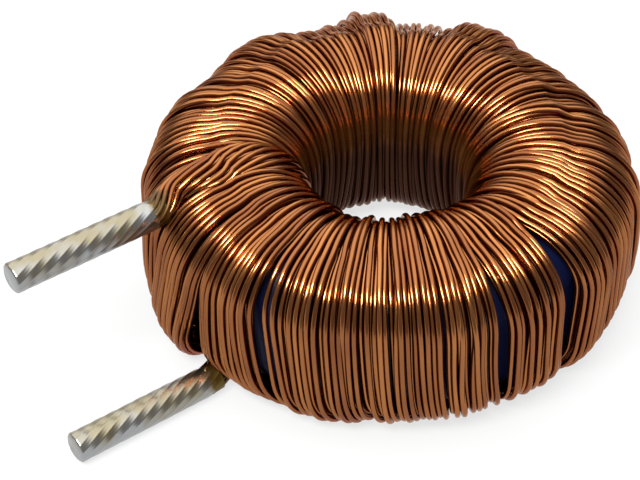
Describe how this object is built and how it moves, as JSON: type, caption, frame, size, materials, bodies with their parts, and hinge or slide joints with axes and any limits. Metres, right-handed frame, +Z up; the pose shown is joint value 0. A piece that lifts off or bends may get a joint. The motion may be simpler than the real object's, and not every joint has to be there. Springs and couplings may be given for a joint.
{
  "type": "toroidal inductor",
  "caption": "Ring-core power inductor wound all round with a bundle of parallel enamelled copper strands, with two straight tinned leads leaving side by side.",
  "frame": {"origin": "on the ring's axis, at the level of the underside of the winding", "axes": "+Z up the ring's axis; the two leads point along -X"},
  "size_m": [0.0488, 0.0376, 0.0137],
  "materials": {
    "core_coat": "epoxy coat",
    "enamelled_copper": "clear enamel over copper",
    "tinned_copper": "solder-dipped strands"
  },
  "bodies": {
    "root": {"core": "core_coat", "turn_01": "enamelled_copper", "turn_02": "enamelled_copper", "turn_03": "enamelled_copper", "turn_04": "enamelled_copper", "turn_05": "enamelled_copper", "turn_06": "enamelled_copper", "turn_07": "enamelled_copper", "turn_08": "enamelled_copper", "turn_09": "enamelled_copper", "turn_10": "enamelled_copper", "turn_11": "enamelled_copper", "turn_12": "enamelled_copper", "turn_13": "enamelled_copper", "turn_14": "enamelled_copper", "turn_15": "enamelled_copper", "turn_16": "enamelled_copper", "turn_17": "enamelled_copper", "turn_18": "enamelled_copper", "turn_19": "enamelled_copper", "turn_20": "enamelled_copper", "turn_21": "enamelled_copper", "turn_22": "enamelled_copper", "start_lead": "tinned_copper", "finish_lead": "tinned_copper"}
  },
  "joints": []
}
